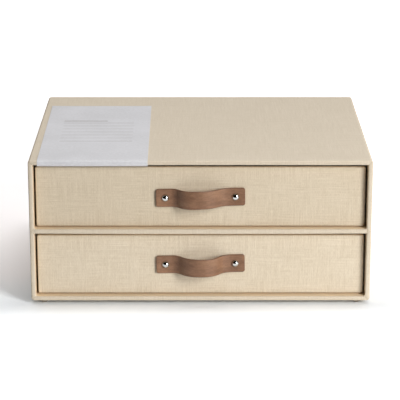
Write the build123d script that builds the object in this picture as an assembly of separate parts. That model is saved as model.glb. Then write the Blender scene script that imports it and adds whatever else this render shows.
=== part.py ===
from build123d import *
import math
import os

os.makedirs("parts", exist_ok=True)

# A desk file box for A4 or letter sheets: a case of greyboard covered in linen book-cloth,
# with two lift-out drawers behind its open front. Each drawer is a paper-lined board tray with
# a cloth-covered front panel and a bowed leather pull on two screw studs.
#
# Millimetres. +X is to the right, +Y to the back and +Z up. The origin is on the surface that
# the feet stand on, under the middle of the whole object, its pulls included.

# --- Driving dimensions: the case ---
CASE_WIDTH = 335.0
CASE_DEPTH = 260.0
CASE_HEIGHT = 144.0  # without the feet
CASE_EDGE_RADIUS = 2.5  # long edges, where the board is grooved and folded
BOARD = 3.5  # greyboard of the case
CLOTH = 0.5  # book-cloth with its glue
LINING = 0.3  # paper inside the compartments
TURN_IN = 18.0  # cloth folded back into the mouth
REAR_TURN_IN = 14.0  # cloth folded onto the back board
BACK_MARGIN = 2.5  # from the case's outline to the cloth on its back
OUTER_SOFTNESS = 1.2  # rounding of the cloth at the mouth's outer edge
INNER_SOFTNESS = 0.9  # and at its inner edge
CORNER_GATHER = 1.8  # cloth gathered in the lower front corners of each compartment
GATHER_ROUNDING = 1.6  # radius of a gather's hollow face, in gather widths
GATHER_PANEL_GAP = 1.0  # from the gathers to the drawer fronts behind them
BACK_CORNER_RADIUS = 0.6

# --- Driving dimensions: feet and paper band ---
FOOT_HEIGHT = 3.5
FOOT_RADIUS = 4.9
FOOT_RIM = 0.6  # straight part of the foot's side, under the case
FOOT_FLAT_RADIUS = 2.6
FOOT_INSET_X = 12.5  # foot's centre from the case's side
FOOT_INSET_Y = 8.5  # and from its front and back
BAND_THICKNESS = 0.25
BAND_LEFT = -157.5
BAND_RIGHT = -51.0
BAND_REACH = 216.0  # from the front edge to the band's end on the top
BAND_TUCK = 14.0  # band's length under the top panel

# --- Driving dimensions: drawers ---
PANEL_RECESS = 7.0  # drawer fronts behind the case's front edge
PANEL_SIDE_GAP = 2.0
PANEL_FLOOR_GAP = 1.2
PANEL_HEIGHT = 60.4
PANEL_BOARD = 2.5
PANEL_CORNER_RADIUS = 1.4
PANEL_BEVEL = 0.8  # cloth drawn over the panel's square edge
PANEL_TURN_IN = 12.0
TRAY_BOARD = 2.2
TRAY_WRAP = 0.4  # cloth outside the tray
TRAY_LIP = 15.0  # tray cloth folded over the rim and down inside
TRAY_SIDE_GAP = 2.75
TRAY_BACK_GAP = 0.3
TRAY_BELOW_PANEL_TOP = 2.5
RUNNING_GAP = 0.1  # under a tray, over its whole travel

# --- Driving dimensions: leather pulls ---
STRAP_LENGTH = 87.5
STRAP_WIDTH = 18.0
STRAP_THICKNESS = 2.2
STRAP_CORNER_RADIUS = 2.2
STRAP_BEVEL = 0.4  # on the edges of its outer, grain side
STRAP_TILT = 1.0  # degrees, right end higher
STUD_SPACING = 68.6
# Bow of each pull: how far it stands out, where its foot curves begin, where its crown begins
# and ends, and the share of the slope's height that each foot curve takes.
UPPER_BOW = {"height": 11.5, "left": -25.5, "crown": (-5.5, -1.5), "right": 30.0, "foot_share": 0.30}
LOWER_BOW = {"height": 15.0, "left": -26.0, "crown": (0.5, 2.5), "right": 29.5, "foot_share": 0.33}
UPPER_PULL_ABOVE_PANEL = 29.9  # middle of the strap over the drawer front's lower edge
LOWER_PULL_ABOVE_PANEL = 31.0

# --- Driving dimensions: studs ---
DOME_RADIUS = 3.55
DOME_HEIGHT = 2.5
DOME_RIM = 0.4
DOME_RINGS = 4  # turned facets from the rim to the crown
POST_RADIUS = 2.0
POST_BORE_RADIUS = 1.3
SCREW_RADIUS = 1.25
SCREW_HEAD_RADIUS = 4.0
SCREW_HEAD_HEIGHT = 1.2
SCREW_SLOT_WIDTH = 0.9
SCREW_SLOT_DEPTH = 0.5
POST_SOLID = 1.0  # of each post under its head, before the tapped bore
POST_SCREW_GAP = 0.3  # from the post's end to the screw's head
HOLE_CLEARANCE = 0.1
HOLE_OVERRUN = 2.0  # how far the holes are cut past the outermost pieces

# --- Worked out from them ---
WALL = BOARD + 2 * CLOTH
MOUTH_WIDTH = CASE_WIDTH - 2 * WALL
MOUTH_HEIGHT = CASE_HEIGHT - 2 * WALL
CAVITY_WIDTH = MOUTH_WIDTH + 2 * CLOTH  # between the boards
CAVITY_HEIGHT = MOUTH_HEIGHT + 2 * CLOTH
COMPARTMENT_HEIGHT = (MOUTH_HEIGHT - WALL) / 2
CASE_BOTTOM = FOOT_HEIGHT
CASE_MIDDLE = CASE_BOTTOM + CASE_HEIGHT / 2
LOWER_FLOOR = CASE_BOTTOM + WALL
UPPER_FLOOR = LOWER_FLOOR + COMPARTMENT_HEIGHT + WALL
BOARDS_END = CASE_DEPTH - 2 * CLOTH  # depth at which the boards stop
BACK_BOARD_FRONT = BOARDS_END - BOARD

PANEL_WIDTH = MOUTH_WIDTH - 2 * PANEL_SIDE_GAP
PANEL_THICKNESS = PANEL_BOARD + 2 * CLOTH
TRAY_FRONT = PANEL_RECESS + PANEL_THICKNESS
TRAY_BACK = BACK_BOARD_FRONT - LINING - TRAY_BACK_GAP
TRAY_WIDTH = MOUTH_WIDTH - 2 * TRAY_SIDE_GAP
TRAY_HEIGHT = PANEL_FLOOR_GAP + PANEL_HEIGHT - TRAY_BELOW_PANEL_TOP - RUNNING_GAP
TRAY_WALL = TRAY_WRAP + TRAY_BOARD  # cloth and board together

TALLER_BOW = max(UPPER_BOW["height"], LOWER_BOW["height"])
PULL_STANDS_OUT = TALLER_BOW + STRAP_THICKNESS - PANEL_RECESS
CASE_FRONT = (PULL_STANDS_OUT - CASE_DEPTH) / 2  # Y of the case's front edge

# --- For telling edges apart ---
TOUCH = 0.01  # positions this near to each other count as the same
# Where leather is looked for behind a rim of the strap: shares of its X and Z, and a depth.
PROBE = {"along": 0.995, "across": 0.95, "behind": 0.3}


def section_at(x, z, outline):
    """Move an outline drawn about its own middle to X and Z on the section plane."""
    return Pos(x, z) * outline


def along_depth(section, near, far):
    """Extrude a section between two distances behind the case's front edge."""
    plane = Plane(origin=(0, CASE_FRONT + far, 0), x_dir=(1, 0, 0), z_dir=(0, -1, 0))
    return extrude(plane * section, far - near)


def block(x_range, depth_range, z_range):
    """A square-edged block between two values on each axis, depths from the front edge."""
    size = [high - low for low, high in (x_range, depth_range, z_range)]
    middle = [(low + high) / 2 for low, high in (x_range, depth_range, z_range)]
    return Pos(middle[0], CASE_FRONT + middle[1], middle[2]) * Box(*size)


def edges_on_depth(solid, depth, inside=None):
    """Edges that lie wholly at one depth, and within a half width of the middle if given."""
    y = CASE_FRONT + depth
    found = []
    for edge in solid.edges():
        box = edge.bounding_box()
        at_depth = max(abs(box.min.Y - y), abs(box.max.Y - y)) < TOUCH
        within = max(abs(box.min.X), abs(box.max.X)) < (inside or math.inf)
        if at_depth and within:
            found.append(edge)
    return found


# --- The case ---


def case_section(width, height, radius=0.0):
    """The case's outline, or one that lies a skin's thickness inside it."""
    outline = RectangleRounded(width, height, radius) if radius else Rectangle(width, height)
    return section_at(0, CASE_MIDDLE, outline)


def case_boards():
    """Top, bottom and side boards: one folded tube, cut apart along the folds' mitres."""
    outer_width = CASE_WIDTH - 2 * CLOTH
    outer_height = CASE_HEIGHT - 2 * CLOTH
    tube = case_section(outer_width, outer_height, CASE_EDGE_RADIUS - CLOTH)
    tube -= case_section(CAVITY_WIDTH, CAVITY_HEIGHT)
    half_width = outer_width / 2
    half_height = outer_height / 2
    # The mitres run at 45 degrees from the corners to the middle height.
    meet = half_width - half_height
    upper_wedge = Polygon(
        (-half_width, half_height), (-meet, 0), (meet, 0), (half_width, half_height), align=None
    )
    side_wedge = Polygon(
        (half_width, half_height), (meet, 0), (half_width, -half_height), align=None
    )
    wedges = {
        "top_board": upper_wedge,
        "bottom_board": mirror(upper_wedge, Plane.XZ),
        "right_side_board": side_wedge,
        "left_side_board": mirror(side_wedge, Plane.YZ),
    }
    boards = {}
    for name, wedge in wedges.items():
        boards[name] = along_depth(tube & section_at(0, CASE_MIDDLE, wedge), CLOTH, BOARDS_END)
    return boards


def back_board():
    """Board between the four others, flush with their ends."""
    return along_depth(case_section(CAVITY_WIDTH, CAVITY_HEIGHT), BACK_BOARD_FRONT, BOARDS_END)


def outer_linen():
    """Cloth round the outside, folded over the mouth's edges and onto the back board."""
    wrap = along_depth(case_section(CASE_WIDTH, CASE_HEIGHT, CASE_EDGE_RADIUS), 0, CASE_DEPTH - CLOTH)
    boards = case_section(CASE_WIDTH - 2 * CLOTH, CASE_HEIGHT - 2 * CLOTH, CASE_EDGE_RADIUS - CLOTH)
    window = case_section(CASE_WIDTH - 2 * REAR_TURN_IN, CASE_HEIGHT - 2 * REAR_TURN_IN)
    wrap -= along_depth(boards, TURN_IN, BOARDS_END)
    wrap -= along_depth(boards - case_section(CAVITY_WIDTH, CAVITY_HEIGHT), CLOTH, TURN_IN)
    wrap -= along_depth(case_section(MOUTH_WIDTH, MOUTH_HEIGHT), 0, TURN_IN)
    wrap -= along_depth(window, BOARDS_END, CASE_DEPTH - CLOTH)
    mouth_edges = edges_on_depth(wrap, 0, inside=MOUTH_WIDTH / 2 + TOUCH)
    wrap = fillet(mouth_edges, INNER_SOFTNESS)
    rim = [edge for edge in edges_on_depth(wrap, 0) if is_case_outline(edge)]
    return fillet(rim, OUTER_SOFTNESS) + corner_gathers(LOWER_FLOOR)


def is_case_outline(edge):
    """Whether an edge of the front face belongs to the case's outline."""
    box = edge.bounding_box()
    to_side = max(abs(box.min.X), abs(box.max.X))
    to_top = max(abs(box.min.Z - CASE_MIDDLE), abs(box.max.Z - CASE_MIDDLE))
    return to_side > (MOUTH_WIDTH + WALL) / 2 or to_top > (MOUTH_HEIGHT + WALL) / 2


def back_linen():
    """Sheet of cloth over the back, covering the raw edges of the folded cloth."""
    width = CASE_WIDTH - 2 * BACK_MARGIN
    height = CASE_HEIGHT - 2 * BACK_MARGIN
    return along_depth(case_section(width, height, BACK_CORNER_RADIUS), CASE_DEPTH - CLOTH, CASE_DEPTH)


def shelf_board():
    """Board between the compartments, its front corners cut back for the folded cloth."""
    low = UPPER_FLOOR - WALL + CLOTH
    high = UPPER_FLOOR - CLOTH
    front = block((-MOUTH_WIDTH / 2, MOUTH_WIDTH / 2), (CLOTH, TURN_IN), (low, high))
    rest = block((-CAVITY_WIDTH / 2, CAVITY_WIDTH / 2), (TURN_IN, BACK_BOARD_FRONT), (low, high))
    return front + rest


def shelf_linen():
    """Cloth folded round the shelf's front edge, top and underside."""
    half = MOUTH_WIDTH / 2
    sleeve = block((-half, half), (0, TURN_IN), (UPPER_FLOOR - WALL, UPPER_FLOOR))
    sleeve -= block((-half, half), (CLOTH, TURN_IN), (UPPER_FLOOR - WALL + CLOTH, UPPER_FLOOR - CLOTH))
    long_edges = [edge for edge in edges_on_depth(sleeve, 0) if edge.length > MOUTH_WIDTH / 2]
    return fillet(long_edges, INNER_SOFTNESS) + corner_gathers(UPPER_FLOOR)


def corner_gathers(floor):
    """Cloth gathered in a compartment's two lower front corners, as small hollow webs."""
    leg = CORNER_GATHER
    sides = Polyline((leg, 0), (0, 0), (0, leg))
    web = make_face(sides + RadiusArc((0, leg), (leg, 0), -GATHER_ROUNDING * leg))
    left = section_at(-MOUTH_WIDTH / 2, floor, web)
    right = section_at(MOUTH_WIDTH / 2, floor, mirror(web, Plane.YZ))
    return along_depth(left + right, INNER_SOFTNESS, PANEL_RECESS - GATHER_PANEL_GAP)


def compartment_lining(floor):
    """Paper inside one compartment, on its floor, ceiling, sides and back."""
    low = floor - CLOTH
    high = floor + COMPARTMENT_HEIGHT + CLOTH
    half = CAVITY_WIDTH / 2
    paper = block((-half, half), (TURN_IN, BACK_BOARD_FRONT), (low, high))
    paper -= block(
        (-half + LINING, half - LINING), (TURN_IN, BACK_BOARD_FRONT - LINING), (low + LINING, high - LINING)
    )
    return paper


def bumper_foot():
    """Self-adhesive ball-shaped bumper, flat where it stands, its flat at the origin."""
    rim_bottom = FOOT_HEIGHT - FOOT_RIM
    # The ball's middle is as far from the flat's edge as from the rim.
    middle = (FOOT_RADIUS**2 - FOOT_FLAT_RADIUS**2 + rim_bottom**2) / (2 * rim_bottom)
    ball_radius = math.hypot(FOOT_FLAT_RADIUS, middle)
    sides = Polyline(
        (FOOT_FLAT_RADIUS, 0), (0, 0), (0, FOOT_HEIGHT), (FOOT_RADIUS, FOOT_HEIGHT), (FOOT_RADIUS, rim_bottom)
    )
    ball = RadiusArc((FOOT_FLAT_RADIUS, 0), (FOOT_RADIUS, rim_bottom), -ball_radius)
    return revolve(make_face(Plane.XZ * (sides + ball)), Axis.Z)


def bumper_feet():
    """Four feet near the corners of the case's underside."""
    x = CASE_WIDTH / 2 - FOOT_INSET_X
    near = CASE_FRONT + FOOT_INSET_Y
    far = CASE_FRONT + CASE_DEPTH - FOOT_INSET_Y
    places = [Pos(*place, 0) for place in ((-x, near), (x, near), (-x, far), (x, far))]
    return Compound(children=[place * bumper_foot() for place in places])


def bent_edge(path, skin):
    """Round a path's two foremost corners as the cloth edge under it is rounded."""
    upper, lower = path.vertices().sort_by(Axis.X)[:2].sort_by(Axis.Y)[::-1]
    path = fillet(upper, OUTER_SOFTNESS + skin)
    lower = path.vertices().sort_by_distance((lower.X, lower.Y))[0]
    return fillet(lower, INNER_SOFTNESS + skin)


def paper_band():
    """Paper strip on the top, bent over the front edge and tucked in above the upper drawer."""
    skin = BAND_THICKNESS
    under = WALL + skin
    outside = Polyline((BAND_REACH, skin), (-skin, skin), (-skin, -under), (BAND_TUCK, -under))
    outside = bent_edge(outside, skin)
    inside = Polyline((BAND_TUCK, -WALL), (0, -WALL), (0, 0), (BAND_REACH, 0))
    inside = bent_edge(inside, 0)
    ends = Line((BAND_REACH, 0), (BAND_REACH, skin)) + Line((BAND_TUCK, -under), (BAND_TUCK, -WALL))
    plane = Plane(
        origin=(BAND_LEFT, CASE_FRONT, CASE_BOTTOM + CASE_HEIGHT), x_dir=(0, 1, 0), z_dir=(1, 0, 0)
    )
    return extrude(plane * make_face(outside + inside + ends), BAND_RIGHT - BAND_LEFT)


# --- A drawer ---


def dome_side():
    """Points of a stud head's side from its rim nearly to its crown, on one sphere."""
    rise = DOME_HEIGHT - DOME_RIM
    ball_radius = (DOME_RADIUS**2 + rise**2) / (2 * rise)
    half_angle = math.asin(DOME_RADIUS / ball_radius)
    angles = [half_angle * (1 - ring / DOME_RINGS) for ring in range(DOME_RINGS)]
    return [
        (ball_radius * math.sin(angle), DOME_HEIGHT - ball_radius * (1 - math.cos(angle)))
        for angle in angles
    ]


class Drawer:
    """One drawer in its compartment: the tray, its front panel and its pull."""

    def __init__(self, name, floor, bow, pull_above_panel):
        self.name = name
        self.bow = bow
        self.bottom = floor + RUNNING_GAP
        self.top = self.bottom + TRAY_HEIGHT
        self.panel_bottom = floor + PANEL_FLOOR_GAP
        self.panel_middle = self.panel_bottom + PANEL_HEIGHT / 2
        self.pull_z = self.panel_bottom + pull_above_panel

    def stud_places(self):
        """X and Z of the two studs, on the strap's tilted centre line."""
        tilt = math.radians(STRAP_TILT)
        half = STUD_SPACING / 2
        return [
            (side * half * math.cos(tilt), self.pull_z + side * half * math.sin(tilt))
            for side in (-1, 1)
        ]

    def stud_cylinders(self, radius, near, far):
        """Cylinders on both studs' axes between two depths."""
        circles = [section_at(x, z, Circle(radius)) for x, z in self.stud_places()]
        return along_depth(circles[0] + circles[1], near, far)

    def drilled(self, solid):
        """A piece with the holes that the studs' posts pass through."""
        near = PANEL_RECESS - STRAP_THICKNESS - HOLE_OVERRUN
        far = TRAY_FRONT + TRAY_WALL + LINING + HOLE_OVERRUN
        return solid - self.stud_cylinders(POST_RADIUS + HOLE_CLEARANCE, near, far)

    def tray_boards(self):
        """Five boards: a floor, two full-length sides on it, and the ends between them."""
        half = TRAY_WIDTH / 2 - TRAY_WRAP
        near = TRAY_FRONT + TRAY_WRAP
        far = TRAY_BACK - TRAY_WRAP
        base = self.bottom + TRAY_WRAP
        deck = base + TRAY_BOARD
        rim = self.top - TRAY_WRAP
        inner = half - TRAY_BOARD
        return {
            "tray_floor": block((-half, half), (near, far), (base, deck)),
            "tray_left_wall": block((-half, -inner), (near, far), (deck, rim)),
            "tray_right_wall": block((inner, half), (near, far), (deck, rim)),
            "tray_front_wall": self.drilled(block((-inner, inner), (near, near + TRAY_BOARD), (deck, rim))),
            "tray_back_wall": block((-inner, inner), (far - TRAY_BOARD, far), (deck, rim)),
        }

    def tray_wrap(self):
        """Cloth round the tray and under it, folded over the rim and down inside."""
        side = TRAY_WIDTH / 2
        shell = block((-side, side), (TRAY_FRONT, TRAY_BACK), (self.bottom, self.top))
        half = side - TRAY_WRAP
        inner = half - TRAY_BOARD
        near = TRAY_FRONT + TRAY_WRAP
        far = TRAY_BACK - TRAY_WRAP
        base = self.bottom + TRAY_WRAP
        rim = self.top - TRAY_WRAP
        lip = self.top - TRAY_LIP
        skin = TRAY_WRAP
        inside = (-inner, inner), (near + TRAY_BOARD, far - TRAY_BOARD)
        opening = (-inner + skin, inner - skin), (near + TRAY_BOARD + skin, far - TRAY_BOARD - skin)
        boards = block((-half, half), (near, far), (base, rim)) - block(*inside, (lip, rim))
        return self.drilled(shell - boards - block(*opening, (lip, self.top)))

    def tray_lining(self):
        """Paper on the tray's floor and up its walls to the folded cloth."""
        inner = TRAY_WIDTH / 2 - TRAY_WALL
        near = TRAY_FRONT + TRAY_WALL
        far = TRAY_BACK - TRAY_WALL
        deck = self.bottom + TRAY_WALL
        lip = self.top - TRAY_LIP
        paper = block((-inner, inner), (near, far), (deck, lip))
        inner -= LINING
        paper -= block((-inner, inner), (near + LINING, far - LINING), (deck + LINING, lip))
        return self.drilled(paper)

    def panel_section(self, inset, radius=0.0):
        """The front panel's outline, brought in by a skin's thickness."""
        width = PANEL_WIDTH - 2 * inset
        height = PANEL_HEIGHT - 2 * inset
        outline = RectangleRounded(width, height, radius) if radius else Rectangle(width, height)
        return section_at(0, self.panel_middle, outline)

    def front_board(self):
        """Board of the front panel."""
        near = PANEL_RECESS + CLOTH
        return self.drilled(along_depth(self.panel_section(CLOTH), near, near + PANEL_BOARD))

    def front_linen(self):
        """Cloth over the front panel, folded round its edges onto the back."""
        near = PANEL_RECESS + CLOTH
        cloth = along_depth(self.panel_section(0, PANEL_CORNER_RADIUS), PANEL_RECESS, TRAY_FRONT)
        cloth -= along_depth(self.panel_section(CLOTH), near, near + PANEL_BOARD)
        cloth -= along_depth(self.panel_section(PANEL_TURN_IN), near + PANEL_BOARD, TRAY_FRONT)
        cloth = chamfer(edges_on_depth(cloth, PANEL_RECESS), PANEL_BEVEL)
        return self.drilled(cloth)

    def slope(self, start, end):
        """Two tangent arcs between a flat on the panel and the bow's crown."""
        run = end[0] - start[0]
        rise = end[1] - start[1]
        low_first = rise > 0
        share = self.bow["foot_share"] if low_first else 1 - self.bow["foot_share"]
        radius_sum = (run**2 + rise**2) / (2 * abs(rise))
        turn = math.degrees(2 * math.atan2(abs(rise), run))
        first = JernArc(start, (1, 0), radius_sum * share, turn if low_first else -turn)
        second = JernArc(first @ 1, first % 1, radius_sum * (1 - share), -turn if low_first else turn)
        return [first, second]

    def strap(self):
        """Leather strip bowed out from the panel between its two flat, studded ends."""
        half = STRAP_LENGTH / 2
        height = self.bow["height"]
        crown_left, crown_right = self.bow["crown"]
        # The middle line lies half the leather's thickness off the panel.
        level = STRAP_THICKNESS / 2
        path = [Line((-half, level), (self.bow["left"], level))]
        path += self.slope((self.bow["left"], level), (crown_left, level + height))
        path.append(Line((crown_left, level + height), (crown_right, level + height)))
        path += self.slope((crown_right, level + height), (self.bow["right"], level))
        path.append(Line((self.bow["right"], level), (half, level)))
        top_view = trace(Curve() + path, STRAP_THICKNESS)
        # The view from above, X to the right and outwards upwards, is extruded down the width.
        plane = Plane(
            origin=(0, CASE_FRONT + PANEL_RECESS, self.pull_z + STRAP_WIDTH / 2),
            x_dir=(1, 0, 0),
            z_dir=(0, 0, -1),
        )
        strip = extrude(plane * top_view, STRAP_WIDTH)
        through = strip.edges().filter_by(Axis.Y)
        corners = [edge for edge in through if abs(edge.center().X) > half - TOUCH]
        strip = fillet(corners, STRAP_CORNER_RADIUS)
        across = strip.edges().filter_by(Axis.Z)
        across = [edge for edge in across if abs(edge.center().X) < half - TOUCH]
        through = strip.edges().filter_by(Axis.Y)
        rims = self.grain_side(strip, strip.edges() - across - through)
        strip = chamfer(rims, STRAP_BEVEL)
        tilted = Pos(0, 0, self.pull_z) * Rot(0, -STRAP_TILT, 0) * Pos(0, 0, -self.pull_z) * strip
        return self.drilled(tilted)

    def grain_side(self, strip, rims):
        """The rims of the strap's outer face: there is leather just behind each of them."""
        found = []
        for rim in rims:
            x, y, z = rim @ 0.5
            level = self.pull_z + (z - self.pull_z) * PROBE["across"]
            behind = Vector(x * PROBE["along"], y + PROBE["behind"], level)
            if strip.is_inside(behind):
                found.append(rim)
        return found

    def stud_posts(self):
        """Domed heads on the strap, each with a tapped post through the drawer's front."""
        seat = PANEL_RECESS - STRAP_THICKNESS
        length = TRAY_FRONT + TRAY_WALL + LINING - POST_SCREW_GAP - seat
        bore = [(0, -POST_SOLID), (POST_BORE_RADIUS, -POST_SOLID), (POST_BORE_RADIUS, -length)]
        post = [(POST_RADIUS, -length), (POST_RADIUS, 0), (DOME_RADIUS, 0)]
        outline = Polyline((0, DOME_HEIGHT), *bore, *post, *dome_side(), close=True)
        stud = revolve(make_face(Plane.XZ * outline), Axis.Z)
        return self.on_both_studs(stud, seat)

    def stud_screws(self):
        """Slotted flat-headed screws from inside the tray, in the studs' posts."""
        seat = TRAY_FRONT + TRAY_WALL + LINING
        length = seat - PANEL_RECESS
        head = Cylinder(SCREW_HEAD_RADIUS, SCREW_HEAD_HEIGHT, align=(Align.CENTER, Align.CENTER, Align.MAX))
        slot = Box(2 * SCREW_HEAD_RADIUS, SCREW_SLOT_WIDTH, SCREW_SLOT_DEPTH)
        head -= Pos(0, 0, -SCREW_HEAD_HEIGHT + SCREW_SLOT_DEPTH / 2) * slot
        shank = Cylinder(SCREW_RADIUS, length, align=(Align.CENTER, Align.CENTER, Align.MIN))
        return self.on_both_studs(head + shank, seat)

    def on_both_studs(self, solid, depth):
        """A turned piece whose +Z becomes outwards, placed on both studs' axes."""
        placed = []
        for x, z in self.stud_places():
            plane = Plane(origin=(x, CASE_FRONT + depth, z), x_dir=(1, 0, 0), z_dir=(0, -1, 0))
            placed.append(plane * solid)
        return Compound(children=placed)

    def pieces(self):
        """Every piece of the drawer, by name."""
        pieces = self.tray_boards()
        pieces["tray_wrap"] = self.tray_wrap()
        pieces["tray_lining"] = self.tray_lining()
        pieces["front_board"] = self.front_board()
        pieces["front_linen"] = self.front_linen()
        pieces["strap"] = self.strap()
        pieces["stud_posts"] = self.stud_posts()
        pieces["stud_screws"] = self.stud_screws()
        return {f"{self.name}_{piece}": solid for piece, solid in pieces.items()}


def main():
    """Make every piece and write each one as a STEP file."""
    pieces = case_boards()
    pieces["back_board"] = back_board()
    pieces["outer_linen"] = outer_linen()
    pieces["back_linen"] = back_linen()
    pieces["shelf_board"] = shelf_board()
    pieces["shelf_linen"] = shelf_linen()
    pieces["lower_lining"] = compartment_lining(LOWER_FLOOR)
    pieces["upper_lining"] = compartment_lining(UPPER_FLOOR)
    pieces["paper_band"] = paper_band()
    pieces["bumper_feet"] = bumper_feet()
    pieces.update(Drawer("upper", UPPER_FLOOR, UPPER_BOW, UPPER_PULL_ABOVE_PANEL).pieces())
    pieces.update(Drawer("lower", LOWER_FLOOR, LOWER_BOW, LOWER_PULL_ABOVE_PANEL).pieces())
    for name, solid in pieces.items():
        export_step(solid, f"parts/{name}.step")


main()
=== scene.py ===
import bpy
import bmesh
import functools
import math
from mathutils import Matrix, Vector, noise


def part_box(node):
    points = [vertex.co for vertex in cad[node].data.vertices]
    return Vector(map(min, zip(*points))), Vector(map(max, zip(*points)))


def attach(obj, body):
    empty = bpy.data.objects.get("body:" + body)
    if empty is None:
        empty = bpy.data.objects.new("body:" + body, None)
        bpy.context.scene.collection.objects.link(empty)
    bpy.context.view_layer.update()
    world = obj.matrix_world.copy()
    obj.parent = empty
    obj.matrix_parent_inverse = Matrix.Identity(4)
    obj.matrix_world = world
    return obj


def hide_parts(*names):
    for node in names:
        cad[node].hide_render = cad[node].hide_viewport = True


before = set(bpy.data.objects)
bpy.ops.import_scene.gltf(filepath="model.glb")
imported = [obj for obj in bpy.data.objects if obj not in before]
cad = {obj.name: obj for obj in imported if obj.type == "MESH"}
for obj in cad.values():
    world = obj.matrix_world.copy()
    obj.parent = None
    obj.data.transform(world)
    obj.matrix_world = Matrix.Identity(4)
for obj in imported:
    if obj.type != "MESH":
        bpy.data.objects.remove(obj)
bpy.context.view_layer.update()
scene = bpy.context.scene
scene.view_settings.view_transform = "Standard"
mm = 0.001
print("frame loaded,", len(cad), "nodes")


def span(node):  # lowest and highest corner of a CAD node, in millimetres
    low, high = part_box(node)
    return [value / mm for value in low], [value / mm for value in high]


def tint(red, green, blue):  # a colour as it reads on screen, 0 to 255, as the linear colour that nodes take
    def linear(value):
        share = value / 255
        return share / 12.92 if share <= 0.04045 else ((share + 0.055) / 1.055) ** 2.4
    return (linear(red), linear(green), linear(blue), 1.0)


# node trees are written as expressions: a wire is a value in the tree, a board is the tree itself
def calc(operation, *terms):  # a Math node on wires and numbers
    board = next(term.board for term in terms if isinstance(term, Wire))
    return board.add("ShaderNodeMath", {"operation": operation}, dict(enumerate(terms)))


class Wire:  # an output socket that sums and products can be written with
    def __init__(self, board, socket):
        self.board = board
        self.socket = socket

    def also(self, name):  # another output of the same node
        return Wire(self.board, self.socket.node.outputs[name])

    def __add__(self, other):
        return calc("ADD", self, other)

    def __radd__(self, other):
        return calc("ADD", other, self)

    def __sub__(self, other):
        return calc("SUBTRACT", self, other)

    def __rsub__(self, other):
        return calc("SUBTRACT", other, self)

    def __mul__(self, other):
        return calc("MULTIPLY", self, other)

    def __rmul__(self, other):
        return calc("MULTIPLY", other, self)

    def __abs__(self):
        return calc("ABSOLUTE", self)


class Board:  # a node tree under construction
    def __init__(self, tree):
        self.tree = tree

    def add(self, kind, settings=None, sockets=None, out=0):
        node = self.tree.nodes.new(kind)
        for name, value in (settings or {}).items():
            setattr(node, name, value)
        for key, value in (sockets or {}).items():
            if isinstance(value, Wire):
                self.tree.links.new(value.socket, node.inputs[key])
            else:
                node.inputs[key].default_value = value
        return Wire(self, node.outputs[out]) if len(node.outputs) else node

    def parts(self, vector):  # x, y and z of a vector wire
        split = self.add("ShaderNodeSeparateXYZ", None, {0: vector})
        return split, split.also("Y"), split.also("Z")

    def joined(self, x, y, z):
        return self.add("ShaderNodeCombineXYZ", None, {0: x, 1: y, 2: z})

    def speckle(self, place, scale, size=1.0, detail=2.0, shift=0.0):  # noise from 0 to 1, scale per axis
        offset = (shift, shift / 3, shift / 7)
        moved = self.add("ShaderNodeMapping", None, {"Vector": place, "Scale": scale, "Location": offset})
        waves = {"Vector": moved, "Scale": size, "Detail": detail, "Roughness": 0.55}
        return self.add("ShaderNodeTexNoise", None, waves)

    def between(self, value, low, high, smooth=True):  # 0 below low, 1 above high
        kind = "SMOOTHSTEP" if smooth else "LINEAR"
        limits = {"Value": value, "From Min": low, "From Max": high}
        return self.add("ShaderNodeMapRange", {"interpolation_type": kind}, limits)

    def vectors(self, operation, sockets, out="Vector"):  # a Vector Math node
        return self.add("ShaderNodeVectorMath", {"operation": operation}, sockets, out)

    def dyed(self, share, first, second):  # from the first colour to the second
        return self.add("ShaderNodeMix", {"data_type": "RGBA"}, {0: share, 6: first, 7: second}, 2)

    def bumped(self, height, strength=1.0):  # a normal from a height in millimetres
        return self.add("ShaderNodeBump", None, {"Height": height, "Distance": mm, "Strength": strength})


def finish(name, **fixed):  # a material with one Principled shader, its fixed values set on its own sockets
    material = bpy.data.materials.new(name)
    material.use_nodes = True
    shader = material.node_tree.nodes["Principled BSDF"]
    for socket, value in fixed.items():
        shader.inputs[socket.replace("_", " ")].default_value = value
    return material, Board(material.node_tree), shader


def wire(board, shader, **links):  # what changes over the surface
    for socket, value in links.items():
        board.tree.links.new(value.socket, shader.inputs[socket.replace("_", " ")])


def millimetres(board, attribute=None):  # a place on the piece: an attribute, or its own coordinates
    if attribute:
        return board.add("ShaderNodeAttribute", {"attribute_name": attribute}, None, "Vector")
    place = board.add("ShaderNodeTexCoord", None, None, "Object")
    return board.vectors("SCALE", {0: place, "Scale": 1 / mm})
camera = {
    "place": (-1.76, -1796.1, 621.6),
    "pitch": 17.087,  # degrees downwards
    "yaw": 0.0444,  # degrees to the right
    "focalPixels": 1794.8,
    "picturePixels": 400,
    "sensor": 36.0,
}


def makeCamera():
    data = bpy.data.cameras.new("camera")
    data.sensor_width = camera["sensor"]
    data.lens = camera["focalPixels"] * camera["sensor"] / camera["picturePixels"]
    data.clip_start = 0.05
    data.clip_end = 30
    eye = bpy.data.objects.new("camera", data)
    eye.location = [value * mm for value in camera["place"]]
    eye.rotation_euler = (math.radians(90 - camera["pitch"]), 0, math.radians(-camera["yaw"]))
    scene.collection.objects.link(eye)
    scene.camera = eye


makeCamera()
print("camera ready")


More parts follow.
